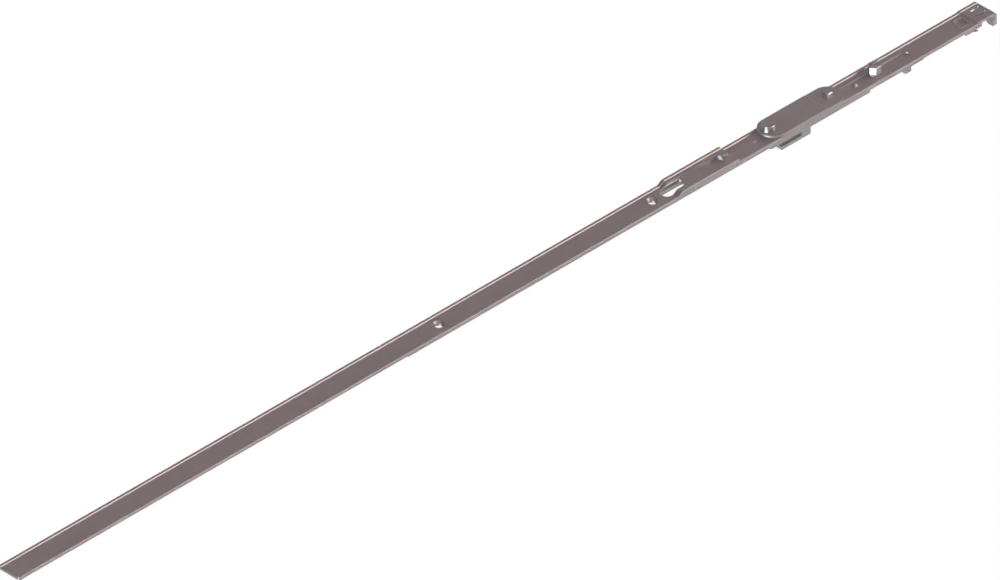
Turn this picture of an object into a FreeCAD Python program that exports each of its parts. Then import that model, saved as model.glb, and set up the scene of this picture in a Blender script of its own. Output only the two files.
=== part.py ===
"""Drive rail of a tilt and turn espagnolette, with its stay link, locking cam and catch slide.

Frame, in millimetres: X runs along the rail, towards the coupling end.
Z is up, out of the sash groove, and Z = 0 is the back of the faceplate, which lies on the sash.
The origin lies midway between the two screw holes.
"""
import FreeCAD, Part
import math
import os

V = FreeCAD.Vector

# Faceplate: a rolled strip with a raised rim along each edge.
plate_width = 16.0
plate_thick = 1.9
plate_left = 396.2
plate_right = 335.4
rim_round_wide = 0.5
rim_round_high = 0.5
rim_flat = 1.2
rim_depth = 0.5
rim_flank = 0.45
plain_end_round = 1.3

# Screw seats: pressed down round each hole, with a raised lip.
screw_pitch = 160.0
screw_hole_r = 2.1
screw_cone_start = 0.1
screw_cone_high = 1.3
screw_collar_wall = 1.5
screw_collar_drop = 1.2
screw_dish_r = 4.5
screw_lip_wide = 0.7
screw_lip_high = 0.2

# Index line stamped in the floor of the faceplate.
index_x = -12.6
index_long = 4.0
index_wide = 0.5
index_deep = 0.2

# Bridge: the strip is raised here, for the catch slide under it.
bridge_from_screw = 11.4
bridge_long = 46.6
bridge_rise = 2.1
ramp_long = 4.0
ramp_steps = 6
step_long = 0.5
step_web = 1.3

# Openings of the bridge: oval opening, slit and keyhole.
oval_from_ramp = 3.5
oval_half_long = 7.75
oval_r = 3.9
key_r = 4.1
slit_low_y = 1.9
slit_high_y = 3.7
lead_from_key = 12.0
lead_to_key = 6.0
lead_y = 0.2

# Catch slide: a fork under the bridge, with a tail in a slot of the faceplate.
catch_side_gap = 0.4
catch_over_gap = 0.15
catch_left_from_key = 23.6
catch_right_gap = 0.5
catch_fork_half = 3.8
catch_pocket_wall = 0.7
catch_pocket_offset = 0.6
catch_end_wall = 1.1
catch_corner_r = 0.8
tail_wide = 1.6
tail_sink = 0.1
tail_side_gap = 0.12
tail_y = -0.1
tail_long = 19.8
tail_slot_back = 3.0
tail_slot_over = 3.0

# Drive rod: a flat bar that slides under the faceplate.
rod_travel = 19.0
rod_end_web = 6.0
rod_shoulder_gap = 13.5
rod_tip_inset = 0.4
rod_tip_r = 0.5
rod_width = 11.6
rod_neck_width = 8.0
rod_thick = 2.6
rod_gap = 0.2
rod_corner_cut = 1.0
slot_side_gap = 0.2
slot_end_gap = 0.6
bridge_slot_extra = 5.2
pivot_slot_extra = 1.7
neck_notch_deep = 1.2
neck_notch_long = 3.0
neck_notch_from_tip = 4.0

# Guide rivets: blind in the back of the faceplate, with their heads under the rod.
guide_web_left = 4.7
guide_web_right = 11.1
guide_shank_r = 2.3
guide_seat_deep = 0.8
guide_head_r = 3.9
guide_head_thick = 0.9
under_gap = 0.15

# Backing plate, with the post that holds its plain end.
post_from_bridge = 28.8
post_r = 1.8
post_top_r = 2.8
post_top_deep = 1.0
post_foot_r = 2.8
post_foot_thick = 0.8
back_thick = 1.3
back_gap = 0.1
back_end_cut = 3.0
back_left_over = 2.8
back_right_gap = 6.5

# Support block: it rests on the bottom of the sash groove.
block_from_post = 5.7
block_flange_long = 15.0
block_solid_long = 7.3
block_deep = 4.4
block_web_wide = 6.4
block_flange_thick = 2.0
block_round = 0.6
block_rivet_r = 1.9
block_rivet_inset = 4.2

# Stay link on its pivot.
pivot_web = 2.9
pivot_r = 2.3
pivot_run_gap = 0.05
pivot_head_square = 4.7
pivot_head_high = 2.75
pivot_head_cut = 0.6
pivot_head_edge = 0.3
pivot_head_gap = 0.05
pivot_foot_r = 3.4
pivot_foot_thick = 0.8
spacer_r = 5.2
spacer_high = 0.4
washer_r = 5.4
washer_thick = 0.25
washer_gap = 0.05
link_reach = 41.6
link_end_r = 8.6
link_thick = 1.35
link_thin = 1.1
link_thin_from_pivot = 8.2
link_step_long = 0.8
doubler_thick = 0.8
doubler_from_pivot = 20.2
button_r = 1.5
button_deep = 0.5
button_from_pivot = 14.0
button_half_pitch = 4.0
button_gap = 0.04
stud_past_reach = 3.3
stud_r = 3.8
stud_high = 3.95
stud_edge = 0.35
stud_shank_r = 2.6
stud_foot_r = 3.4
stud_foot_thick = 0.7

# Locking cam: six-sided, eccentric on its stem so that it can be set.
cam_from_link = 7.9
cam_flats = 6.8
cam_sides = 6
cam_high = 4.9
cam_eccentric = 0.5
cam_edge = 0.3
cam_over_washer = 0.05
cap_sink = 0.25
cap_seat_deep = 1.0
cap_slot_wide = 0.5
cap_slot_deep = 0.5
stem_r = 1.9
stem_run_gap = 0.05
stem_cap_r = 2.4
stem_foot_r = 1.5
cam_washer_r = 3.1
cam_washer_thick = 0.25
cam_washer_gap = 0.1
cam_slot_wide = 5.6
cam_slot_left_extra = 4.2
cam_slot_right_extra = 6.2

# Guide block under the rod.
nub_from_cam = 19.8
nub_long = 4.5
nub_half = 4.6
nub_deep = 4.2
nub_corner_r = 0.5
nub_rivet_r = 1.2

# Coupling end: raised a little, with two slots, a window and a bent ear.
end_long = 15.6
end_ramp_long = 1.2
end_rise = 0.5
end_base = 0.75
end_inset = 0.6
end_bend_r = 2.6
ear_thick = 2.5
ear_drop = 6.3
ear_corner_r = 1.0
ear_notch_half = 1.8
ear_notch_r = 2.0
ear_window_gap = 0.25
end_slot_wide = 2.1
end_slot_left = 9.6
end_slot_right = 2.9
end_slot_ys = (3.6, -1.75)
window_from_ramp = 4.3
window_long = 6.5
window_half = 3.5
window_lip_wide = 0.6
window_lip_high = 0.35

# End guide: a saddle under the coupling end, with a leaf that is bent down as a lead-in.
saddle_over_ramp = 6.2
saddle_long = 12.7
saddle_wall = 1.2
saddle_floor = 0.65
saddle_gap = 0.2
leaf_inset = 0.6
leaf_flat = 4.7
leaf_bent = 4.7
leaf_drop = 1.5
leaf_thick = 0.5

# Allowances of the construction: how far cuts run past a face, and how deep joined solids bite.
past = 1.0
bite = 0.1

# Levels.
half_width = plate_width / 2
floor_z = plate_thick - rim_depth
rim_in = half_width - rim_round_wide - rim_flat
floor_half = rim_in - rim_flank
rod_top = -rod_gap
rod_bottom = rod_top - rod_thick
back_top = rod_bottom - back_gap
back_bottom = back_top - back_thick
block_bottom = back_bottom - block_deep
washer_bottom = floor_z + spacer_high
doubler_bottom = washer_bottom + washer_thick + washer_gap
link_bottom = doubler_bottom + doubler_thick
link_top = link_bottom + link_thick
link_thin_top = link_bottom + link_thin
cam_bottom = floor_z + cam_washer_gap + cam_washer_thick + cam_over_washer
cam_top = cam_bottom + cam_high
above = plate_thick + bridge_rise + past
below = block_bottom - past

# Places along the rail.
collar_r = screw_hole_r + screw_collar_wall
collar_reach = rod_travel + collar_r + slot_end_gap
shank_reach = rod_travel + guide_shank_r + slot_end_gap
post_reach = rod_travel + post_r + slot_end_gap
pivot_reach = rod_travel + pivot_r + slot_end_gap
rod_left = -screw_pitch / 2 - collar_reach - rod_end_web
guide_xs = (
    -screw_pitch / 2 + collar_reach + shank_reach + guide_web_left,
    screw_pitch / 2 - collar_reach - shank_reach - guide_web_right,
)
bridge_x = screw_pitch / 2 + bridge_from_screw
bridge_end = bridge_x + bridge_long
oval_x = bridge_x + oval_from_ramp
catch_right = bridge_end - step_web - step_long - catch_right_gap
pocket_r = key_r + catch_pocket_wall
pocket_x = catch_right - catch_end_wall - pocket_r
key_x = pocket_x - catch_pocket_offset
post_x = bridge_end + post_from_bridge
pivot_x = post_x + post_reach + pivot_web + pivot_reach
cam_x = pivot_x + link_end_r + rod_travel + cam_from_link
nub_x = cam_x + nub_from_cam
block_left = post_x + block_from_post
block_right = block_left + block_flange_long + block_solid_long
block_rivet_xs = (block_left + block_rivet_inset, block_right - block_rivet_inset)
stud_x = pivot_x - link_reach - stud_past_reach
end_ramp_x = plate_right - end_long
window_x = end_ramp_x - window_from_ramp
saddle_right = end_ramp_x + saddle_over_ramp
saddle_left = saddle_right - saddle_long
rod_shoulder = saddle_left - rod_travel - rod_shoulder_gap
neck_half = rod_neck_width / 2
corner_shrink = 2 - math.sqrt(2)


def prism(wire, z0, z1):
    """Solid of a flat outline at Z = 0, carried from z0 up to z1."""
    face = Part.Face(wire)
    face.translate(V(0, 0, z0))
    return face.extrude(V(0, 0, z1 - z0))


def polygon(points):
    """Closed outline through points (x, y)."""
    corners = [V(x, y, 0) for x, y in points]
    return Part.makePolygon(corners + corners[:1])


def side_profile(points, half):
    """Solid of an outline (x, z), carried across the rail from -half to half."""
    corners = [V(x, -half, z) for x, z in points]
    return Part.Face(Part.makePolygon(corners + corners[:1])).extrude(V(0, 2 * half, 0))


def rounded_outline(points):
    """Closed outline through corners (x, y, r), each rounded with its own radius."""
    edges = []
    ends = []
    count = len(points)
    for i in range(count):
        x, y, r = points[i]
        before = V(points[i - 1][0], points[i - 1][1], 0)
        after = V(points[(i + 1) % count][0], points[(i + 1) % count][1], 0)
        corner = V(x, y, 0)
        if r <= 0:
            ends.append((corner, corner, None))
            continue
        back = (before - corner).normalize()
        ahead = (after - corner).normalize()
        half_angle = back.getAngle(ahead) / 2
        cut = r / math.tan(half_angle)
        middle = (back + ahead).normalize()
        crown = corner + middle * (r / math.sin(half_angle) - r)
        ends.append((corner + back * cut, corner + ahead * cut, crown))
    for i in range(count):
        first, last, crown = ends[i]
        if crown is not None:
            edges.append(Part.Arc(first, crown, last).toShape())
        following = ends[(i + 1) % count][0]
        if (following - last).Length > 1e-6:
            edges.append(Part.LineSegment(last, following).toShape())
    return Part.Wire(edges)


def rectangle(x0, x1, y0, y1, r=0.0):
    """Rectangular outline, with its corners rounded to r."""
    return rounded_outline([(x0, y0, r), (x1, y0, r), (x1, y1, r), (x0, y1, r)])


def stadium(x0, x1, y, r):
    """Outline of a slot with round ends, from x0 to x1 over all."""
    a = V(x0 + r, y - r, 0)
    b = V(x1 - r, y - r, 0)
    c = V(x1 - r, y + r, 0)
    d = V(x0 + r, y + r, 0)
    return Part.Wire([
        Part.LineSegment(a, b).toShape(),
        Part.Arc(b, V(x1, y, 0), c).toShape(),
        Part.LineSegment(c, d).toShape(),
        Part.Arc(d, V(x0, y, 0), a).toShape(),
    ])


def turned(x, y, profile):
    """Solid of revolution about a vertical axis at (x, y), from a profile of (radius, z)."""
    corners = [V(r, 0, z) for r, z in profile]
    face = Part.Face(Part.makePolygon(corners + corners[:1]))
    solid = face.revolve(V(0, 0, 0), V(0, 0, 1), 360)
    solid.translate(V(x, y, 0))
    return solid


def cylinder(x, y, r, z0, z1):
    """Upright cylinder."""
    return Part.makeCylinder(r, z1 - z0, V(x, y, z0))


def ring(x, r_in, r_out, z0, z1):
    """Flat ring."""
    return turned(x, 0, [(r_in, z0), (r_out, z0), (r_out, z1), (r_in, z1)])


def joined(shapes):
    """Solids fused in one, without seams."""
    first = shapes[0]
    return first.multiFuse(shapes[1:]).removeSplitter()


def plate_section(x, base, lift):
    """Section of the faceplate at x: its back at Z = base, its top raised by lift."""
    shoulder = plate_thick - rim_round_high + lift
    top = plate_thick + lift
    floor = floor_z + lift
    crown_y = half_width - rim_round_wide * (1 - math.cos(math.pi / 4))
    crown_z = shoulder + rim_round_high * math.sin(math.pi / 4)
    rim_out = half_width - rim_round_wide
    right = [
        Part.LineSegment(V(x, half_width, base), V(x, half_width, shoulder)).toShape(),
        Part.Arc(V(x, half_width, shoulder), V(x, crown_y, crown_z), V(x, rim_out, top)).toShape(),
        Part.LineSegment(V(x, rim_out, top), V(x, rim_in, top)).toShape(),
        Part.LineSegment(V(x, rim_in, top), V(x, floor_half, floor)).toShape(),
    ]
    left = [
        Part.LineSegment(V(x, -floor_half, floor), V(x, -rim_in, top)).toShape(),
        Part.LineSegment(V(x, -rim_in, top), V(x, -rim_out, top)).toShape(),
        Part.Arc(V(x, -rim_out, top), V(x, -crown_y, crown_z), V(x, -half_width, shoulder)).toShape(),
        Part.LineSegment(V(x, -half_width, shoulder), V(x, -half_width, base)).toShape(),
    ]
    floor_edge = Part.LineSegment(V(x, floor_half, floor), V(x, -floor_half, floor)).toShape()
    back_edge = Part.LineSegment(V(x, -half_width, base), V(x, half_width, base)).toShape()
    return Part.Wire(right + [floor_edge] + left + [back_edge])


def stretch(x0, x1, base, lift):
    """Straight length of the faceplate."""
    return Part.Face(plate_section(x0, base, lift)).extrude(V(x1 - x0, 0, 0))


def passage(stations):
    """Length of the faceplate that changes level, through stations (x, base, lift)."""
    return Part.makeLoft([plate_section(*s) for s in stations], True, True)


def make_strip():
    """The strip along its whole length, with its bridge and its raised coupling end."""
    ramp = []
    for i in range(ramp_steps + 1):
        t = i / ramp_steps
        z = bridge_rise * t * t * (3 - 2 * t)
        ramp.append((bridge_x + ramp_long * t, z, z))
    web_left = bridge_end - step_web
    return [
        stretch(-plate_left, bridge_x, 0, 0),
        passage(ramp),
        stretch(bridge_x + ramp_long, web_left - step_long, bridge_rise, bridge_rise),
        passage([(web_left - step_long, bridge_rise, bridge_rise), (web_left, 0, bridge_rise)]),
        stretch(web_left, bridge_end, 0, bridge_rise),
        passage([(bridge_end, 0, bridge_rise), (bridge_end + step_long, 0, 0)]),
        stretch(bridge_end + step_long, end_ramp_x, 0, 0),
        passage([(end_ramp_x, 0, 0), (end_ramp_x + end_ramp_long, end_base, end_rise)]),
        stretch(end_ramp_x + end_ramp_long, plate_right, end_base, end_rise),
    ]


def make_ear():
    """Ear bent down from the coupling end, notched into two legs up to the neck's window."""
    half = half_width - end_inset
    top = floor_z + end_rise - bite
    outline = rounded_outline([
        (-half, -ear_drop, ear_corner_r),
        (-ear_notch_half, -ear_drop, ear_notch_r),
        (-ear_notch_half, rod_bottom, 0),
        (ear_notch_half, rod_bottom, 0),
        (ear_notch_half, -ear_drop, ear_notch_r),
        (half, -ear_drop, ear_corner_r),
        (half, top, 0),
        (-half, top, 0),
    ])
    ear = prism(outline, 0, ear_thick)
    ear.rotate(V(0, 0, 0), V(1, 0, 0), 90)
    ear.rotate(V(0, 0, 0), V(0, 0, 1), 90)
    ear.translate(V(plate_right - ear_thick, 0, 0))
    return ear


def make_window_lip():
    """Raised lip along the left and front sides of the window."""
    x0 = window_x - window_long / 2
    x1 = window_x + window_long / 2
    outline = polygon([
        (x0 - window_lip_wide, window_half), (x0 - window_lip_wide, -window_half - window_lip_wide),
        (x1, -window_half - window_lip_wide), (x1, -window_half), (x0, -window_half), (x0, window_half),
    ])
    return prism(outline, floor_z - bite, floor_z + window_lip_high)


def screw_collar(x):
    """Collar and raised lip of a screw seat."""
    lip_out = screw_dish_r + screw_lip_wide
    collar = cylinder(x, 0, collar_r, -screw_collar_drop, floor_z)
    lip = turned(x, 0, [
        (0, floor_z - bite), (lip_out, floor_z - bite), (lip_out, floor_z),
        (screw_dish_r, floor_z + screw_lip_high), (0, floor_z + screw_lip_high),
    ])
    return [collar, lip]


def screw_seat(x):
    """What a screw seat takes away: its hole, its cone and the shallow dish round that."""
    cone_top_r = screw_hole_r + screw_cone_high
    return turned(x, 0, [
        (0, -screw_collar_drop - past), (screw_hole_r, -screw_collar_drop - past),
        (screw_hole_r, screw_cone_start), (cone_top_r, screw_cone_start + screw_cone_high),
        (screw_dish_r, floor_z + screw_lip_high), (screw_dish_r, above), (0, above),
    ])


def bridge_openings():
    """Oval opening, slit, lead and keyhole of the bridge, and the slot for the catch slide's tail."""
    lead = polygon([
        (key_x - lead_from_key, slit_low_y + bite), (key_x - lead_to_key, lead_y),
        (key_x, lead_y), (key_x, slit_low_y + bite),
    ])
    tail_slot = stadium(bridge_end - step_web - tail_slot_back, catch_right + tail_long + tail_slot_over,
                        tail_y, tail_wide / 2 + tail_side_gap)
    return [
        prism(stadium(oval_x - oval_half_long, oval_x + oval_half_long, 0, oval_r), below, above),
        cylinder(key_x, 0, key_r, below, above),
        prism(rectangle(oval_x, key_x, slit_low_y, slit_high_y), below, above),
        prism(lead, below, above),
        prism(tail_slot, below, above),
    ]


def end_openings():
    """Slots and window of the coupling end, and the ear's window for the rod's neck."""
    cuts = []
    for y in end_slot_ys:
        slot = stadium(plate_right - end_slot_left, plate_right - end_slot_right, y, end_slot_wide / 2)
        cuts.append(prism(slot, 0, above))
    window = rectangle(window_x - window_long / 2, window_x + window_long / 2, -window_half, window_half)
    cuts.append(prism(window, -past, above))
    passing = neck_half + ear_window_gap
    cuts.append(Part.makeBox(ear_thick + 2 * past, 2 * passing, rod_thick + 2 * ear_window_gap,
                             V(plate_right - ear_thick - past, -passing, rod_bottom - ear_window_gap)))
    return cuts


def outer_bend():
    """What the outer radius of the ear's bend takes away."""
    top = plate_thick + end_rise
    first = V(plate_right - end_bend_r, -plate_width, top)
    last = V(plate_right, -plate_width, top - end_bend_r)
    crown = V(plate_right - end_bend_r * (1 - math.sin(math.pi / 4)), -plate_width,
              top - end_bend_r * (1 - math.cos(math.pi / 4)))
    low = V(plate_right + past, -plate_width, last.z)
    high = V(plate_right + past, -plate_width, top + past)
    far = V(first.x, -plate_width, high.z)
    wire = Part.Wire([
        Part.Arc(first, crown, last).toShape(),
        Part.LineSegment(last, low).toShape(),
        Part.LineSegment(low, high).toShape(),
        Part.LineSegment(high, far).toShape(),
        Part.LineSegment(far, first).toShape(),
    ])
    return Part.Face(wire).extrude(V(0, 2 * plate_width, 0))


def make_faceplate():
    """Rolled strip with its bridge, screw seats, holes, slots, window and bent ear."""
    screw_xs = (-screw_pitch / 2, screw_pitch / 2)
    pieces = make_strip() + [make_ear(), make_window_lip()]
    for x in screw_xs:
        pieces += screw_collar(x)
    body = joined(pieces)

    cuts = [screw_seat(x) for x in screw_xs]
    cuts += bridge_openings()
    cuts += end_openings()
    cam_slot = stadium(cam_x - rod_travel - stem_r - cam_slot_left_extra,
                       cam_x + rod_travel + stem_r + cam_slot_right_extra, 0, cam_slot_wide / 2)
    cuts.append(prism(cam_slot, below, above))
    for x in guide_xs:
        cuts.append(cylinder(x, 0, guide_shank_r, -past, guide_seat_deep))
    cuts.append(post_shape())
    cuts.append(cylinder(pivot_x, 0, pivot_r, below, above))
    cuts.append(prism(rectangle(index_x, index_x + index_wide, -index_long / 2, index_long / 2),
                      floor_z - index_deep, above))
    body = body.cut(Part.makeCompound(cuts[:1]).fuse(cuts[1:]))

    outline = rounded_outline([
        (-plate_left, -half_width, plain_end_round),
        (end_ramp_x, -half_width, 0),
        (end_ramp_x + end_ramp_long, -half_width + end_inset, 0),
        (plate_right, -half_width + end_inset, 0),
        (plate_right, half_width, 0),
        (-plate_left, half_width, plain_end_round),
    ])
    return body.common(prism(outline, below, above)).cut(outer_bend())


def make_catch():
    """Fork under the bridge, its pocket round the keyhole and its guide tail."""
    left = key_x - catch_left_from_key
    half = half_width - catch_side_gap
    top = bridge_rise - catch_over_gap
    body = prism(rectangle(left, catch_right, -half, half, catch_corner_r), 0, top)
    tail = prism(rectangle(catch_right - past, catch_right + tail_long,
                           tail_y - tail_wide / 2, tail_y + tail_wide / 2), 0, floor_z - tail_sink)
    body = joined([body, tail])
    fork = prism(rectangle(left - past, pocket_x, -catch_fork_half, catch_fork_half), -past, above)
    return body.cut(cylinder(pocket_x, 0, pocket_r, -past, above)).cut(fork)


def make_rod():
    """Flat bar with a neck at its coupling end, and slots for all that passes through it."""
    tip = plate_right - rod_tip_inset
    half = rod_width / 2
    notch_in = neck_half - neck_notch_deep
    notch_right = tip - neck_notch_from_tip
    notch_left = notch_right - neck_notch_long
    lower = [
        (rod_left, -half + rod_corner_cut, 0), (rod_left + rod_corner_cut, -half, 0),
        (rod_shoulder, -half, 0),
        (rod_shoulder + half - neck_half, -neck_half, 0),
        (notch_left, -neck_half, 0), (notch_left, -notch_in, 0),
        (notch_right, -notch_in, 0), (notch_right, -neck_half, 0),
        (tip, -neck_half, rod_tip_r),
    ]
    upper = [(x, -y, r) for x, y, r in reversed(lower)]
    body = prism(rounded_outline(lower + upper), rod_bottom, rod_top)
    slots = [
        (-screw_pitch / 2, collar_r, collar_reach, 0.0),
        (screw_pitch / 2, collar_r, collar_reach, bridge_slot_extra),
        (post_x, post_r, post_reach, 0.0),
        (pivot_x, pivot_r, pivot_reach, pivot_slot_extra),
    ]
    for x in guide_xs:
        slots.append((x, guide_shank_r, shank_reach, 0.0))
    cuts = []
    for x, r, reach, extra in slots:
        cuts.append(prism(stadium(x - reach, x + reach + extra, 0, r + slot_side_gap), below, 0))
    cuts.append(cylinder(cam_x, 0, stem_foot_r, below, 0))
    cuts.append(cylinder(nub_x + nub_long / 2, 0, nub_rivet_r, below, 0))
    return body.cut(Part.makeCompound(cuts))


def make_guide_rivets():
    """Rivets that hang the rod under the faceplate."""
    head_top = rod_bottom - under_gap
    return Part.makeCompound([turned(x, 0, [
        (0, guide_seat_deep), (guide_shank_r, guide_seat_deep), (guide_shank_r, head_top),
        (guide_head_r, head_top), (guide_head_r, head_top - guide_head_thick),
        (0, head_top - guide_head_thick),
    ]) for x in guide_xs])


def make_backing_plate():
    """Thin plate under the rod, drawn in at its right end."""
    half = rod_width / 2
    left = post_x - back_left_over
    right = nub_x - rod_travel - back_right_gap
    outline = polygon([
        (left, -half + rod_corner_cut), (left + rod_corner_cut, -half),
        (right - back_end_cut, -half), (right, -half + back_end_cut),
        (right, half - back_end_cut), (right - back_end_cut, half),
        (left + rod_corner_cut, half), (left, half - rod_corner_cut),
    ])
    holes = [cylinder(post_x, 0, post_r, below, 0), cylinder(pivot_x, 0, pivot_r, below, 0)]
    for x in block_rivet_xs:
        holes.append(block_rivet(x))
    return prism(outline, back_bottom, back_top).cut(Part.makeCompound(holes))


def post_shape():
    """Post of the backing plate, its countersunk top flush with the floor."""
    return turned(post_x, 0, [
        (0, floor_z), (post_top_r, floor_z), (post_r, floor_z - post_top_deep),
        (post_r, back_bottom), (0, back_bottom),
    ])


def make_post():
    """Post from the faceplate to the backing plate, closed under it."""
    foot = cylinder(post_x, 0, post_foot_r, back_bottom - post_foot_thick, back_bottom)
    return joined([post_shape(), foot])


def block_rivet(x):
    """Rivet with flush ends, from the backing plate through the support block."""
    return cylinder(x, 0, block_rivet_r, block_bottom, back_top)


def make_block():
    """Block of inverted T section, with a full stop at its right end."""
    half = rod_width / 2
    web = block_web_wide / 2
    stop_left = block_left + block_flange_long
    foot_top = block_bottom + block_flange_thick
    section = [
        V(block_left, -half, block_bottom), V(block_left, half, block_bottom),
        V(block_left, half, foot_top), V(block_left, web, foot_top),
        V(block_left, web, back_bottom), V(block_left, -web, back_bottom),
        V(block_left, -web, foot_top), V(block_left, -half, foot_top),
    ]
    rail = Part.Face(Part.makePolygon(section + section[:1])).extrude(V(block_flange_long, 0, 0))
    stop = prism(rounded_outline([
        (stop_left, -half, 0), (block_right, -half, block_round),
        (block_right, half, block_round), (stop_left, half, 0),
    ]), block_bottom, back_bottom)
    return joined([rail, stop]).cut(Part.makeCompound([block_rivet(x) for x in block_rivet_xs]))


def cut_square(x, half, cut, z):
    """Square outline about (x, 0) at level z, with its corners cut off."""
    corners = [
        (half - cut, -half), (half, -half + cut), (half, half - cut), (half - cut, half),
        (-half + cut, half), (-half, half - cut), (-half, -half + cut), (-half + cut, -half),
    ]
    points = [V(x + a, b, z) for a, b in corners]
    return Part.makePolygon(points + points[:1])


def make_pivot_pin():
    """Pin with a square head, closed under the backing plate."""
    head_z = link_thin_top + pivot_head_gap
    head_top = head_z + pivot_head_high
    shank = turned(pivot_x, 0, [
        (0, head_z), (pivot_r, head_z), (pivot_r, back_bottom), (pivot_foot_r, back_bottom),
        (pivot_foot_r, back_bottom - pivot_foot_thick), (0, back_bottom - pivot_foot_thick),
    ])
    half = pivot_head_square / 2
    inner = half - pivot_head_edge
    inner_cut = pivot_head_cut - pivot_head_edge * corner_shrink
    head = Part.makeLoft([
        cut_square(pivot_x, half, pivot_head_cut, head_z),
        cut_square(pivot_x, half, pivot_head_cut, head_top - pivot_head_edge),
        cut_square(pivot_x, inner, inner_cut, head_top),
    ], True, True)
    return joined([shank, head])


def make_link():
    """Stay link, coined thinner at its pivot end, with two half-pierced buttons."""
    outline = stadium(pivot_x - link_reach - link_end_r, pivot_x + link_end_r, 0, link_end_r)
    step_x = pivot_x - link_thin_from_pivot
    coined = side_profile([
        (step_x - link_step_long, link_top + past), (step_x - link_step_long, link_top),
        (step_x, link_thin_top), (pivot_x + plate_width, link_thin_top),
        (pivot_x + plate_width, link_top + past),
    ], plate_width)
    body = prism(outline, link_bottom, link_top).cut(coined)
    buttons = []
    for side in (-1, 1):
        buttons.append(cylinder(pivot_x - button_from_pivot, side * button_half_pitch, button_r,
                                link_bottom - button_deep, link_bottom + bite))
    holes = [
        cylinder(pivot_x, 0, pivot_r + pivot_run_gap, link_bottom - past, link_top + past),
        cylinder(stud_x, 0, stud_shank_r, link_bottom - past, link_top + past),
    ]
    return joined([body] + buttons).cut(Part.makeCompound(holes))


def make_doubler():
    """Second layer under the link's pivot end."""
    left = pivot_x - doubler_from_pivot
    a = V(left, -link_end_r, 0)
    b = V(pivot_x, -link_end_r, 0)
    c = V(pivot_x, link_end_r, 0)
    d = V(left, link_end_r, 0)
    outline = Part.Wire([
        Part.LineSegment(a, b).toShape(),
        Part.Arc(b, V(pivot_x + link_end_r, 0, 0), c).toShape(),
        Part.LineSegment(c, d).toShape(),
        Part.LineSegment(d, a).toShape(),
    ])
    holes = [cylinder(pivot_x, 0, pivot_r + pivot_run_gap, 0, link_top)]
    for side in (-1, 1):
        holes.append(cylinder(pivot_x - button_from_pivot, side * button_half_pitch,
                              button_r + button_gap, 0, link_top))
    return prism(outline, doubler_bottom, link_bottom).cut(Part.makeCompound(holes))


def make_stud():
    """Hook-in stud, riveted in the free end of the link."""
    top = link_top + stud_high
    return turned(stud_x, 0, [
        (0, top), (stud_r - stud_edge, top), (stud_r, top - stud_edge), (stud_r, link_top),
        (stud_shank_r, link_top), (stud_shank_r, link_bottom), (stud_foot_r, link_bottom),
        (stud_foot_r, link_bottom - stud_foot_thick), (0, link_bottom - stud_foot_thick),
    ])


def make_cam():
    """Six-sided cam with corners along the rail, bored off its middle for the stem."""
    corner_r = cam_flats / 2 / math.cos(math.pi / cam_sides)

    def outline(r, z):
        points = []
        for i in range(cam_sides):
            a = 2 * math.pi * i / cam_sides
            points.append(V(cam_x + cam_eccentric + r * math.cos(a), r * math.sin(a), z))
        return Part.makePolygon(points + points[:1])

    body = Part.makeLoft([
        outline(corner_r - cam_edge, cam_bottom), outline(corner_r, cam_bottom + cam_edge),
        outline(corner_r, cam_top - cam_edge), outline(corner_r - cam_edge, cam_top),
    ], True, True)
    bore_r = stem_r + stem_run_gap
    seat_r = stem_cap_r + stem_run_gap
    return body.cut(turned(cam_x, 0, [
        (0, cam_bottom - past), (bore_r, cam_bottom - past), (bore_r, cam_top - cap_seat_deep),
        (seat_r, cam_top - cap_seat_deep), (seat_r, cam_top + past), (0, cam_top + past),
    ]))


def make_stem():
    """Stem of the cam, riveted flush in the rod, with a screwdriver slot in its cap."""
    seat = cam_top - cap_seat_deep + stem_run_gap
    cap_top = cam_top - cap_sink
    body = turned(cam_x, 0, [
        (0, rod_bottom), (stem_foot_r, rod_bottom), (stem_foot_r, rod_top), (stem_r, rod_top),
        (stem_r, seat), (stem_cap_r, seat), (stem_cap_r, cap_top), (0, cap_top),
    ])
    slot = Part.makeBox(2 * stem_cap_r, cap_slot_wide, cap_slot_deep + past,
                        V(cam_x - stem_cap_r, -cap_slot_wide / 2, cap_top - cap_slot_deep))
    return body.cut(slot)


def make_nub():
    """Small block under the rod that keeps it in line in the groove."""
    outline = rectangle(nub_x, nub_x + nub_long, -nub_half, nub_half, nub_corner_r)
    body = prism(outline, rod_bottom - nub_deep, rod_bottom)
    return body.cut(nub_rivet())


def nub_rivet():
    """Rivet with flush ends, from the rod through the guide block."""
    return cylinder(nub_x + nub_long / 2, 0, nub_rivet_r, rod_bottom - nub_deep, rod_top)


def make_saddle():
    """Saddle that carries the rod's neck under the coupling end, with its bent leaf."""
    inner = neck_half + saddle_gap
    outer = inner + saddle_wall
    inner_z = rod_bottom - under_gap
    outer_z = inner_z - saddle_floor
    section = [
        V(saddle_left, -outer, 0), V(saddle_left, -outer, outer_z), V(saddle_left, outer, outer_z),
        V(saddle_left, outer, 0), V(saddle_left, inner, 0), V(saddle_left, inner, inner_z),
        V(saddle_left, -inner, inner_z), V(saddle_left, -inner, 0),
    ]
    saddle = Part.Face(Part.makePolygon(section + section[:1])).extrude(V(saddle_long, 0, 0))
    leaf_left = saddle_left + leaf_inset
    bend_x = leaf_left + leaf_flat
    leaf_right = bend_x + leaf_bent
    leaf = side_profile([
        (leaf_left, outer_z), (bend_x, outer_z), (leaf_right, outer_z - leaf_drop),
        (leaf_right, outer_z - leaf_drop - leaf_thick), (bend_x, outer_z - leaf_thick),
        (leaf_left, outer_z - leaf_thick),
    ], outer)
    return joined([saddle, leaf])


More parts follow.
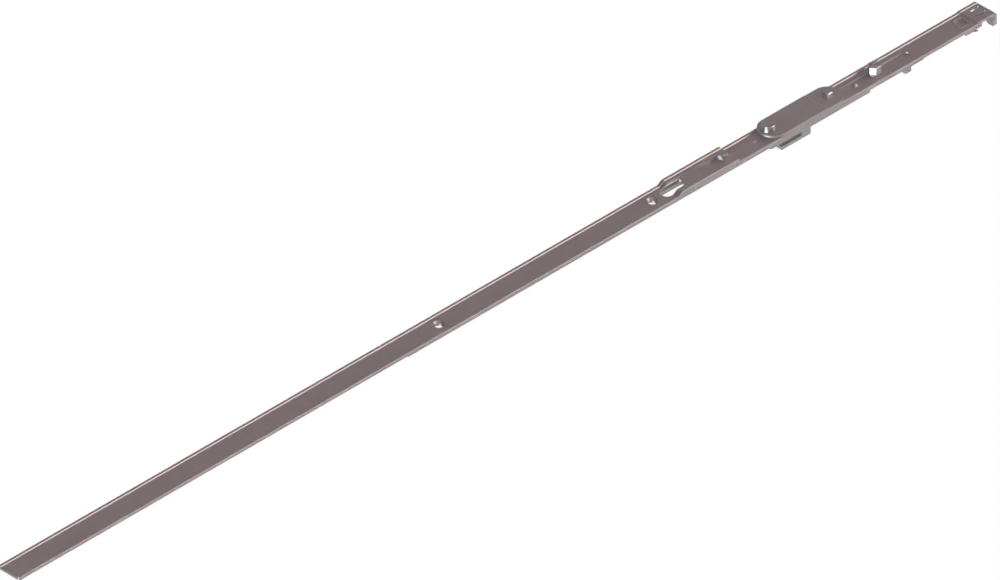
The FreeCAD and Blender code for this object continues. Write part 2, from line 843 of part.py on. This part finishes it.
nodes = {
    "faceplate": make_faceplate(),
    "drive_rod": make_rod(),
    "catch_slide": make_catch(),
    "rod_guide_rivets": make_guide_rivets(),
    "backing_plate": make_backing_plate(),
    "backing_post": make_post(),
    "support_block": make_block(),
    "support_rivets": Part.makeCompound([block_rivet(x) for x in block_rivet_xs]),
    "pivot_pin": make_pivot_pin(),
    "pivot_spacer": ring(pivot_x, pivot_r, spacer_r, floor_z, washer_bottom),
    "pivot_washer": ring(pivot_x, pivot_r, washer_r, washer_bottom, washer_bottom + washer_thick),
    "link_plate": make_link(),
    "link_doubler": make_doubler(),
    "link_stud": make_stud(),
    "cam_stem": make_stem(),
    "cam_roller": make_cam(),
    "cam_washer": ring(cam_x, stem_r, cam_washer_r, floor_z + cam_washer_gap,
                       floor_z + cam_washer_gap + cam_washer_thick),
    "rod_guide_block": make_nub(),
    "guide_block_rivet": nub_rivet(),
    "end_guide": make_saddle(),
}

os.makedirs("parts", exist_ok=True)
for name, shape in nodes.items():
    shape.exportStep("parts/" + name + ".step")
    print(name, len(shape.Solids), shape.isValid(), round(shape.Volume, 1))
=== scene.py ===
"""Looks of an espagnolette's drive rail: plated finishes with softened edges, and a plain stage."""
import math

import bpy
import numpy as np
from bpy.props import FloatProperty, FloatVectorProperty, PointerProperty
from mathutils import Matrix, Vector


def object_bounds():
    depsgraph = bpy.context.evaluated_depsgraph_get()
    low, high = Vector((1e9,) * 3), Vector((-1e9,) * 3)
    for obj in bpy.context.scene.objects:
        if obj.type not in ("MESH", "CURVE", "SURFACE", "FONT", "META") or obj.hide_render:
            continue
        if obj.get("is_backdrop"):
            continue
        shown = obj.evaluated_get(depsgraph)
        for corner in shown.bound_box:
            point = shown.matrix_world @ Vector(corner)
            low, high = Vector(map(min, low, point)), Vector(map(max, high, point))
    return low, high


bl_info = {
    "name": "Espagnolette rail looks",
    "version": (1, 0, 0),
    "blender": (4, 5, 0),
    "location": "View3D > Sidebar > Espagnolette",
    "description": "Plated finishes with softened edges and a plain stage for a drive rail",
    "category": "Object",
}

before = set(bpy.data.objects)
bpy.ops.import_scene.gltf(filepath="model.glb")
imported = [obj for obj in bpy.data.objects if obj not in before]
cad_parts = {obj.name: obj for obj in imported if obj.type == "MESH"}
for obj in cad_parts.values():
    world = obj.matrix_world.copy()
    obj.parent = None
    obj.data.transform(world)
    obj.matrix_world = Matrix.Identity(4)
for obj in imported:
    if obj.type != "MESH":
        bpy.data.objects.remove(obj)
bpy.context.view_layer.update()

# Nodes of the frame, by the finish that they get.
STRIP_NODES = ("faceplate", "link_plate", "link_doubler", "catch_slide", "end_guide")
BAR_NODES = ("drive_rod", "backing_plate")
PIN_NODES = ("pivot_pin", "pivot_spacer", "pivot_washer", "link_stud", "cam_stem", "cam_roller", "cam_washer",
             "backing_post", "rod_guide_rivets", "support_rivets", "guide_block_rivet")
CAST_NODES = ("support_block", "rod_guide_block")

# Plating: how fine its patterns are, per metre, the middle value of each texture, and the patterns' shares.
CLOUD_SCALE = 45.0
CLOUD_DETAIL = 3.0
SPANGLE_SCALE = 900.0
STAIN_SCALE = 210.0
STAIN_DETAIL = 4.0
NOISE_MIDDLE = 0.5
SPANGLE_MIDDLE = 0.4
ROUGHNESS_SHARE = 0.5
SPANGLE_HEIGHT_SHARE = 0.6
STAIN_HEIGHT_SHARE = 0.4
ROLLING_DETAIL = 2.0

# Surface of every plated piece. Depths and radii are in metres.
PLATING_IOR = 1.6
RELIEF_STRENGTH = 0.25
RELIEF_DEPTH = 0.00001
PIN_RELIEF_DEPTH = 0.000001
EDGE_R = 0.0002
PIN_EDGE_R = 0.0001
EDGE_SAMPLES = 6

# Floor: half its side in metres, points along a side, and how much of its look to the camera is pure white.
FLOOR_HALF = 6.0
FLOOR_POINTS = 13
FLOOR_COLOUR = (0.86, 0.86, 0.86, 1.0)
FLOOR_ROUGHNESS = 0.9
FLOOR_WHITE_SHARE = 0.95
WHITE = (1.0, 1.0, 1.0, 1.0)

# Air: colour, strength at the horizon, and the heights on a unit sphere between which it grows duller.
AIR_COLOUR = (1.0, 0.985, 0.975, 1.0)
HORIZON_STRENGTH = 1.0
DULL_FROM = 0.05
DULL_TO = 0.4

# Lamp on the camera's side: width in degrees, strength and colour.
CAMERA_LAMP = (20.0, 1.6, (1.0, 0.97, 0.97))

# Other lamps: name, azimuth, elevation and width in degrees, strength, colour, and whether it casts a shadow.
LAMPS = (
    ("rim_lamp", 49.0, 39.0, 20.0, 2.3, (1.0, 0.98, 0.98), True),
    ("top_lamp", 135.0, 35.0, 60.0, 0.4, (1.0, 0.95, 0.95), False),
    ("left_reflector", -83.0, -35.0, 34.0, 3.2, (0.68, 0.92, 1.0), False),
    ("front_reflector", 45.0, -35.0, 50.0, 0.6, (0.9, 1.0, 1.0), False),
    ("left_lamp", -125.0, 12.0, 50.0, 0.8, (0.75, 0.97, 1.0), True),
)

# Camera: width of the sensor in millimetres, and its nearest and farthest sight as shares of its distance.
SENSOR_WIDTH = 36.0
NEAR_SHARE = 0.5
FAR_SHARE = 3.0


# Settings that a user would change.

class StageSettings(bpy.types.PropertyGroup):
    """Floor, light and camera."""
    azimuth: FloatProperty(name="Azimuth", description="Side that the camera looks from",
                           default=math.radians(-45.0), subtype="ANGLE", unit="ROTATION")
    elevation: FloatProperty(name="Elevation", description="Camera's height above the horizon",
                             default=math.radians(35.264), subtype="ANGLE", unit="ROTATION")
    lens: FloatProperty(name="Lens", description="Focal length of the camera in millimetres",
                        default=950.0, min=50.0)
    width: FloatProperty(name="Width in view", description="Width that the picture takes in at the object",
                         default=0.5288, unit="LENGTH", subtype="DISTANCE")
    shift_right: FloatProperty(name="Shift right", description="How far right of the middle the camera looks",
                               default=-0.00275, unit="LENGTH", subtype="DISTANCE")
    shift_up: FloatProperty(name="Shift up", description="How far above the middle the camera looks",
                            default=-0.0010, unit="LENGTH", subtype="DISTANCE")
    light: FloatProperty(name="Light", description="Strength of the lamps", default=1.0, min=0.0)
    air: FloatProperty(name="Air", description="Strength of the light from overhead", default=0.34, min=0.0)
    floor_gap: FloatProperty(name="Floor gap", description="Gap between the object and the floor under it",
                             default=0.0003, unit="LENGTH", subtype="DISTANCE")


class FinishSettings(bpy.types.PropertyGroup):
    """Colours of the plated steel and the die cast blocks."""
    strip_colour: FloatVectorProperty(name="Strip", description="Plated strip steel", subtype="COLOR",
                                      size=3, default=(0.195, 0.157, 0.159), min=0.0, max=1.0)
    bar_colour: FloatVectorProperty(name="Bar", description="Plated rod and backing plate", subtype="COLOR",
                                    size=3, default=(0.19, 0.162, 0.162), min=0.0, max=1.0)
    pin_colour: FloatVectorProperty(name="Pins", description="Turned and plated pins", subtype="COLOR",
                                    size=3, default=(0.2, 0.168, 0.168), min=0.0, max=1.0)
    cast_colour: FloatVectorProperty(name="Blocks", description="Die cast blocks", subtype="COLOR",
                                     size=3, default=(0.18, 0.17, 0.17), min=0.0, max=1.0)


# Node groups shared by the finishes.

def new_group(name, inputs, outputs):
    """Empty shader node group with named sockets, its input node and its output node."""
    group = bpy.data.node_groups.new(name, "ShaderNodeTree")
    for label, kind, default in inputs:
        socket = group.interface.new_socket(name=label, in_out="INPUT", socket_type=kind)
        socket.default_value = default
    for label, kind in outputs:
        group.interface.new_socket(name=label, in_out="OUTPUT", socket_type=kind)
    return group, group.nodes.new("NodeGroupInput"), group.nodes.new("NodeGroupOutput")


def math_node(tree, kind, *values):
    """Output of a new Math node that numbers or other nodes' outputs feed."""
    node = tree.nodes.new("ShaderNodeMath")
    node.operation = kind
    for socket, value in zip(node.inputs, values):
        if isinstance(value, (int, float)):
            socket.default_value = value
        else:
            tree.links.new(value, socket)
    return node.outputs[0]


def texture_node(tree, kind, place, scale, detail=None):
    """New noise or cell texture on the object's own coordinates."""
    texture = tree.nodes.new(kind)
    texture.inputs["Scale"].default_value = scale
    if detail is not None:
        texture.inputs["Detail"].default_value = detail
    tree.links.new(place.outputs["Object"], texture.inputs["Vector"])
    return texture


def plating_group():
    """Zinc plating: a clouded tone, fine spangle and faint stains over the base colour."""
    name = "plating_tone"
    if name in bpy.data.node_groups:
        return bpy.data.node_groups[name]
    group, given, out = new_group(name, [
        ("Colour", "NodeSocketColor", (0.4, 0.4, 0.4, 1.0)),
        ("Roughness", "NodeSocketFloat", 0.4),
        ("Cloud", "NodeSocketFloat", 0.12),
        ("Spangle", "NodeSocketFloat", 0.08),
    ], [("Colour", "NodeSocketColor"), ("Roughness", "NodeSocketFloat"), ("Height", "NodeSocketFloat")])
    place = group.nodes.new("ShaderNodeTexCoord")
    cloud = texture_node(group, "ShaderNodeTexNoise", place, CLOUD_SCALE, CLOUD_DETAIL).outputs["Fac"]
    spangle = texture_node(group, "ShaderNodeTexVoronoi", place, SPANGLE_SCALE).outputs["Distance"]
    stain = texture_node(group, "ShaderNodeTexNoise", place, STAIN_SCALE, STAIN_DETAIL).outputs["Fac"]

    def swing(value, middle, amount):
        """How far a texture is from its middle value, times one of the group's amounts."""
        off_middle = math_node(group, "SUBTRACT", value, middle)
        return math_node(group, "MULTIPLY", off_middle, given.outputs[amount])

    clouds = swing(cloud, NOISE_MIDDLE, "Cloud")
    grain = swing(spangle, SPANGLE_MIDDLE, "Spangle")
    flecks = swing(stain, NOISE_MIDDLE, "Cloud")
    shift = math_node(group, "ADD", math_node(group, "ADD", clouds, grain), flecks)
    tone = group.nodes.new("ShaderNodeVectorMath")
    tone.operation = "SCALE"
    group.links.new(given.outputs["Colour"], tone.inputs[0])
    group.links.new(math_node(group, "ADD", shift, 1.0), tone.inputs["Scale"])
    roughness_shift = math_node(group, "MULTIPLY", shift, ROUGHNESS_SHARE)
    roughness = math_node(group, "ADD", given.outputs["Roughness"], roughness_shift)
    height = math_node(group, "ADD", math_node(group, "MULTIPLY", spangle, SPANGLE_HEIGHT_SHARE),
                       math_node(group, "MULTIPLY", stain, STAIN_HEIGHT_SHARE))
    group.links.new(tone.outputs[0], out.inputs["Colour"])
    group.links.new(roughness, out.inputs["Roughness"])
    group.links.new(height, out.inputs["Height"])
    return group


def rolling_group():
    """Rolling lines that run along X: noise stretched along the rail."""
    name = "rolling_lines"
    if name in bpy.data.node_groups:
        return bpy.data.node_groups[name]
    group, given, out = new_group(name, [
        ("Lines per metre", "NodeSocketFloat", 2600.0),
        ("Stretch", "NodeSocketFloat", 0.02),
    ], [("Lines", "NodeSocketFloat")])
    nodes, links = group.nodes, group.links
    place = nodes.new("ShaderNodeTexCoord")
    split = nodes.new("ShaderNodeSeparateXYZ")
    join = nodes.new("ShaderNodeCombineXYZ")
    noise = nodes.new("ShaderNodeTexNoise")
    noise.inputs["Detail"].default_value = ROLLING_DETAIL
    links.new(place.outputs["Object"], split.inputs[0])
    links.new(math_node(group, "MULTIPLY", split.outputs["X"], given.outputs["Stretch"]), join.inputs["X"])
    links.new(split.outputs["Y"], join.inputs["Y"])
    links.new(split.outputs["Z"], join.inputs["Z"])
    links.new(join.outputs[0], noise.inputs["Vector"])
    links.new(given.outputs["Lines per metre"], noise.inputs["Scale"])
    links.new(noise.outputs["Fac"], out.inputs["Lines"])
    return group


def group_node(tree, group):
    """Places a node group in a material."""
    node = tree.nodes.new("ShaderNodeGroup")
    node.node_tree = group
    return node


def plated_material(name, colour, roughness, metallic, lines=0.0, spangle=0.08, cloud=0.12,
                    depth=RELIEF_DEPTH, edge_r=EDGE_R):
    """Plated metal with softened edges, and rolling lines where lines is over zero."""
    material = bpy.data.materials.new(name)
    material.use_nodes = True
    tree = material.node_tree
    shader = tree.nodes["Principled BSDF"]
    shader.inputs["Metallic"].default_value = metallic
    shader.inputs["IOR"].default_value = PLATING_IOR
    plating = group_node(tree, plating_group())
    plating.inputs["Colour"].default_value = (*colour, 1.0)
    plating.inputs["Roughness"].default_value = roughness
    plating.inputs["Cloud"].default_value = cloud
    plating.inputs["Spangle"].default_value = spangle
    height = plating.outputs["Height"]
    if lines > 0:
        rolled = group_node(tree, rolling_group())
        height = math_node(tree, "MULTIPLY_ADD", rolled.outputs["Lines"], lines, height)
    edge = tree.nodes.new("ShaderNodeBevel")
    edge.samples = EDGE_SAMPLES
    edge.inputs["Radius"].default_value = edge_r
    relief = tree.nodes.new("ShaderNodeBump")
    relief.inputs["Strength"].default_value = RELIEF_STRENGTH
    relief.inputs["Distance"].default_value = depth
    tree.links.new(height, relief.inputs["Height"])
    tree.links.new(edge.outputs["Normal"], relief.inputs["Normal"])
    tree.links.new(plating.outputs["Colour"], shader.inputs["Base Color"])
    tree.links.new(plating.outputs["Roughness"], shader.inputs["Roughness"])
    tree.links.new(relief.outputs["Normal"], shader.inputs["Normal"])
    return material


def dress(nodes, material):
    """Gives CAD nodes their finish."""
    for node in nodes:
        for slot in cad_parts[node].material_slots:
            slot.material = material


class ESPAG_OT_strip_finish(bpy.types.Operator):
    """Finish the rolled and pressed strip pieces"""
    bl_idname = "espag.strip_finish"
    bl_label = "Finish strip pieces"

    def execute(self, context):
        look = context.scene.espag_finish
        dress(STRIP_NODES, plated_material("plated_strip", look.strip_colour, roughness=0.42, metallic=0.8,
                                           lines=0.5))
        return {"FINISHED"}


class ESPAG_OT_bar_finish(bpy.types.Operator):
    """Finish the drive rod and the backing plate"""
    bl_idname = "espag.bar_finish"
    bl_label = "Finish drive bars"

    def execute(self, context):
        look = context.scene.espag_finish
        dress(BAR_NODES, plated_material("plated_bar", look.bar_colour, roughness=0.45, metallic=0.8,
                                         lines=0.7))
        return {"FINISHED"}


class ESPAG_OT_pin_finish(bpy.types.Operator):
    """Finish pins, rivets, rings and the cam"""
    bl_idname = "espag.pin_finish"
    bl_label = "Finish pins and cam"

    def execute(self, context):
        look = context.scene.espag_finish
        dress(PIN_NODES, plated_material("turned_pin", look.pin_colour, roughness=0.3, metallic=0.8,
                                         spangle=0.03, cloud=0.06, depth=PIN_RELIEF_DEPTH, edge_r=PIN_EDGE_R))
        return {"FINISHED"}


class ESPAG_OT_block_finish(bpy.types.Operator):
    """Finish the die cast blocks"""
    bl_idname = "espag.block_finish"
    bl_label = "Finish cast blocks"

    def execute(self, context):
        look = context.scene.espag_finish
        dress(CAST_NODES, plated_material("die_cast", look.cast_colour, roughness=0.5, metallic=0.7,
                                          spangle=0.1))
        return {"FINISHED"}


class ESPAG_OT_stage(bpy.types.Operator):
    """Make the floor, the light from all round, the lamps and the camera"""
    bl_idname = "espag.stage"
    bl_label = "Make stage"

    def execute(self, context):
        scene = context.scene
        setting = scene.espag_stage
        low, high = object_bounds()
        middle = (low + high) / 2
        make_floor(low.z - setting.floor_gap, middle)
        make_world(scene, setting)
        make_lamps(setting)
        make_camera(scene, setting, middle)
        scene.view_settings.view_transform = "Standard"
        return {"FINISHED"}


def floor_material():
    """Matt pale floor with a faint shadow, which looks white to the camera, to mirrors and through glass."""
    material = bpy.data.materials.new("pale_floor")
    material.use_nodes = True
    tree = material.node_tree
    shader = tree.nodes["Principled BSDF"]
    shader.inputs["Base Color"].default_value = FLOOR_COLOUR
    shader.inputs["Roughness"].default_value = FLOOR_ROUGHNESS
    shader.inputs["Specular IOR Level"].default_value = 0.0
    glow = tree.nodes.new("ShaderNodeEmission")
    glow.inputs["Color"].default_value = WHITE
    path = tree.nodes.new("ShaderNodeLightPath")
    seen = math_node(tree, "MAXIMUM", path.outputs["Is Camera Ray"], path.outputs["Is Glossy Ray"])
    seen = math_node(tree, "MAXIMUM", seen, path.outputs["Is Transmission Ray"])
    mix = tree.nodes.new("ShaderNodeMixShader")
    tree.links.new(math_node(tree, "MULTIPLY", seen, FLOOR_WHITE_SHARE), mix.inputs[0])
    tree.links.new(shader.outputs[0], mix.inputs[1])
    tree.links.new(glow.outputs[0], mix.inputs[2])
    tree.links.new(mix.outputs[0], tree.nodes["Material Output"].inputs["Surface"])
    return material


def make_floor(level, middle):
    """Plain pale floor: a level square grid round the middle, z = level."""
    side = np.linspace(-FLOOR_HALF, FLOOR_HALF, FLOOR_POINTS)
    x, y = np.meshgrid(side + middle.x, side + middle.y, indexing="ij")
    points = np.stack([x.ravel(), y.ravel(), np.full(x.size, level)], axis=1)
    i, j = np.meshgrid(np.arange(FLOOR_POINTS - 1), np.arange(FLOOR_POINTS - 1), indexing="ij")
    corner = (i * FLOOR_POINTS + j).ravel()
    faces = np.stack([corner, corner + FLOOR_POINTS, corner + FLOOR_POINTS + 1, corner + 1], axis=1)
    mesh = bpy.data.meshes.new("studio_floor")
    mesh.from_pydata(points.tolist(), [], faces.tolist())
    mesh.materials.append(floor_material())
    floor = bpy.data.objects.new("studio_floor", mesh)
    bpy.context.collection.objects.link(floor)
    floor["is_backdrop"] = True


def make_world(scene, setting):
    """Soft light from all round, bright at the horizon and duller overhead."""
    world = bpy.data.worlds.new("studio_air")
    scene.world = world
    world.use_nodes = True
    nodes, links = world.node_tree.nodes, world.node_tree.links
    air = nodes["Background"]
    air.inputs["Color"].default_value = AIR_COLOUR
    place = nodes.new("ShaderNodeTexCoord")
    split = nodes.new("ShaderNodeSeparateXYZ")
    dull = nodes.new("ShaderNodeMapRange")
    dull.inputs["From Min"].default_value = DULL_FROM
    dull.inputs["From Max"].default_value = DULL_TO
    dull.inputs["To Min"].default_value = HORIZON_STRENGTH
    dull.inputs["To Max"].default_value = setting.air
    links.new(place.outputs["Generated"], split.inputs[0])
    links.new(split.outputs["Z"], dull.inputs["Value"])
    links.new(dull.outputs[0], air.inputs["Strength"])


def direction(azimuth, elevation):
    """Unit vector from the object towards a lamp or the camera. Azimuth 0 is the side of -Y."""
    level = math.cos(elevation)
    return Vector((math.sin(azimuth) * level, -math.cos(azimuth) * level, math.sin(elevation)))


def make_lamp(name, azimuth, elevation, width, strength, colour, shadow):
    """Far lamp with a wide soft face: where it stands and how wide it looks, in degrees."""
    lamp = bpy.data.lights.new(name, "SUN")
    lamp.angle = math.radians(width)
    lamp.energy = strength
    lamp.color = colour
    lamp.use_shadow = shadow
    # Without this, gloss would still lose a shadowless lamp behind other metal, and slots would turn dark.
    lamp.cycles.use_multiple_importance_sampling = shadow
    obj = bpy.data.objects.new(name, lamp)
    obj.rotation_mode = "QUATERNION"
    towards = direction(math.radians(azimuth), math.radians(elevation))
    obj.rotation_quaternion = towards.to_track_quat("Z", "Y")
    bpy.context.collection.objects.link(obj)


def make_lamps(setting):
    """Wide lamps: one from the camera's side and one from behind fill the slots, one makes the bright lines
    of the rims, two from below the horizon stand for reflectors, and one lights the left ends."""
    width, strength, colour = CAMERA_LAMP
    make_lamp("camera_lamp", math.degrees(setting.azimuth), math.degrees(setting.elevation), width,
              strength * setting.light, colour, shadow=False)
    for name, azimuth, elevation, width, strength, colour, shadow in LAMPS:
        make_lamp(name, azimuth, elevation, width, strength * setting.light, colour, shadow)


def make_camera(scene, setting, middle):
    """Camera at the photograph's angle, far off behind a long lens, so that parallel edges stay parallel."""
    data = bpy.data.cameras.new("photo_camera")
    data.lens = setting.lens
    data.sensor_width = SENSOR_WIDTH
    back = direction(setting.azimuth, setting.elevation)
    right = Vector((math.cos(setting.azimuth), math.sin(setting.azimuth), 0.0))
    up = back.cross(right)
    distance = setting.width * setting.lens / SENSOR_WIDTH
    data.clip_start = distance * NEAR_SHARE
    data.clip_end = distance * FAR_SHARE
    camera = bpy.data.objects.new("photo_camera", data)
    camera.rotation_mode = "QUATERNION"
    camera.rotation_quaternion = (-back).to_track_quat("-Z", "Y")
    camera.location = middle + back * distance + right * setting.shift_right + up * setting.shift_up
    bpy.context.collection.objects.link(camera)
    scene.camera = camera


class ESPAG_PT_panel(bpy.types.Panel):
    """Lists the settings and the steps"""
    bl_idname = "ESPAG_PT_panel"
    bl_label = "Espagnolette rail"
    bl_space_type = "VIEW_3D"
    bl_region_type = "UI"
    bl_category = "Espagnolette"

    def draw(self, context):
        for settings in (context.scene.espag_finish, context.scene.espag_stage):
            box = self.layout.box()
            for prop in settings.bl_rna.properties:
                if prop.identifier not in ("rna_type", "name"):
                    box.prop(settings, prop.identifier)
        for step in STEPS:
            self.layout.operator(step.bl_idname)


STEPS = (ESPAG_OT_strip_finish, ESPAG_OT_bar_finish, ESPAG_OT_pin_finish, ESPAG_OT_block_finish,
         ESPAG_OT_stage)
CLASSES = (StageSettings, FinishSettings, *STEPS, ESPAG_PT_panel)


def register():
    """Registers the classes and the settings."""
    for cls in CLASSES:
        bpy.utils.register_class(cls)
    bpy.types.Scene.espag_stage = PointerProperty(type=StageSettings)
    bpy.types.Scene.espag_finish = PointerProperty(type=FinishSettings)


def unregister():
    """Takes the settings and the classes away again."""
    del bpy.types.Scene.espag_finish
    del bpy.types.Scene.espag_stage
    for cls in reversed(CLASSES):
        bpy.utils.unregister_class(cls)


def main():
    """Runs every step in order."""
    register()
    for step in STEPS:
        family, action = step.bl_idname.split(".")
        getattr(getattr(bpy.ops, family), action)()


if __name__ == "__main__":
    main()
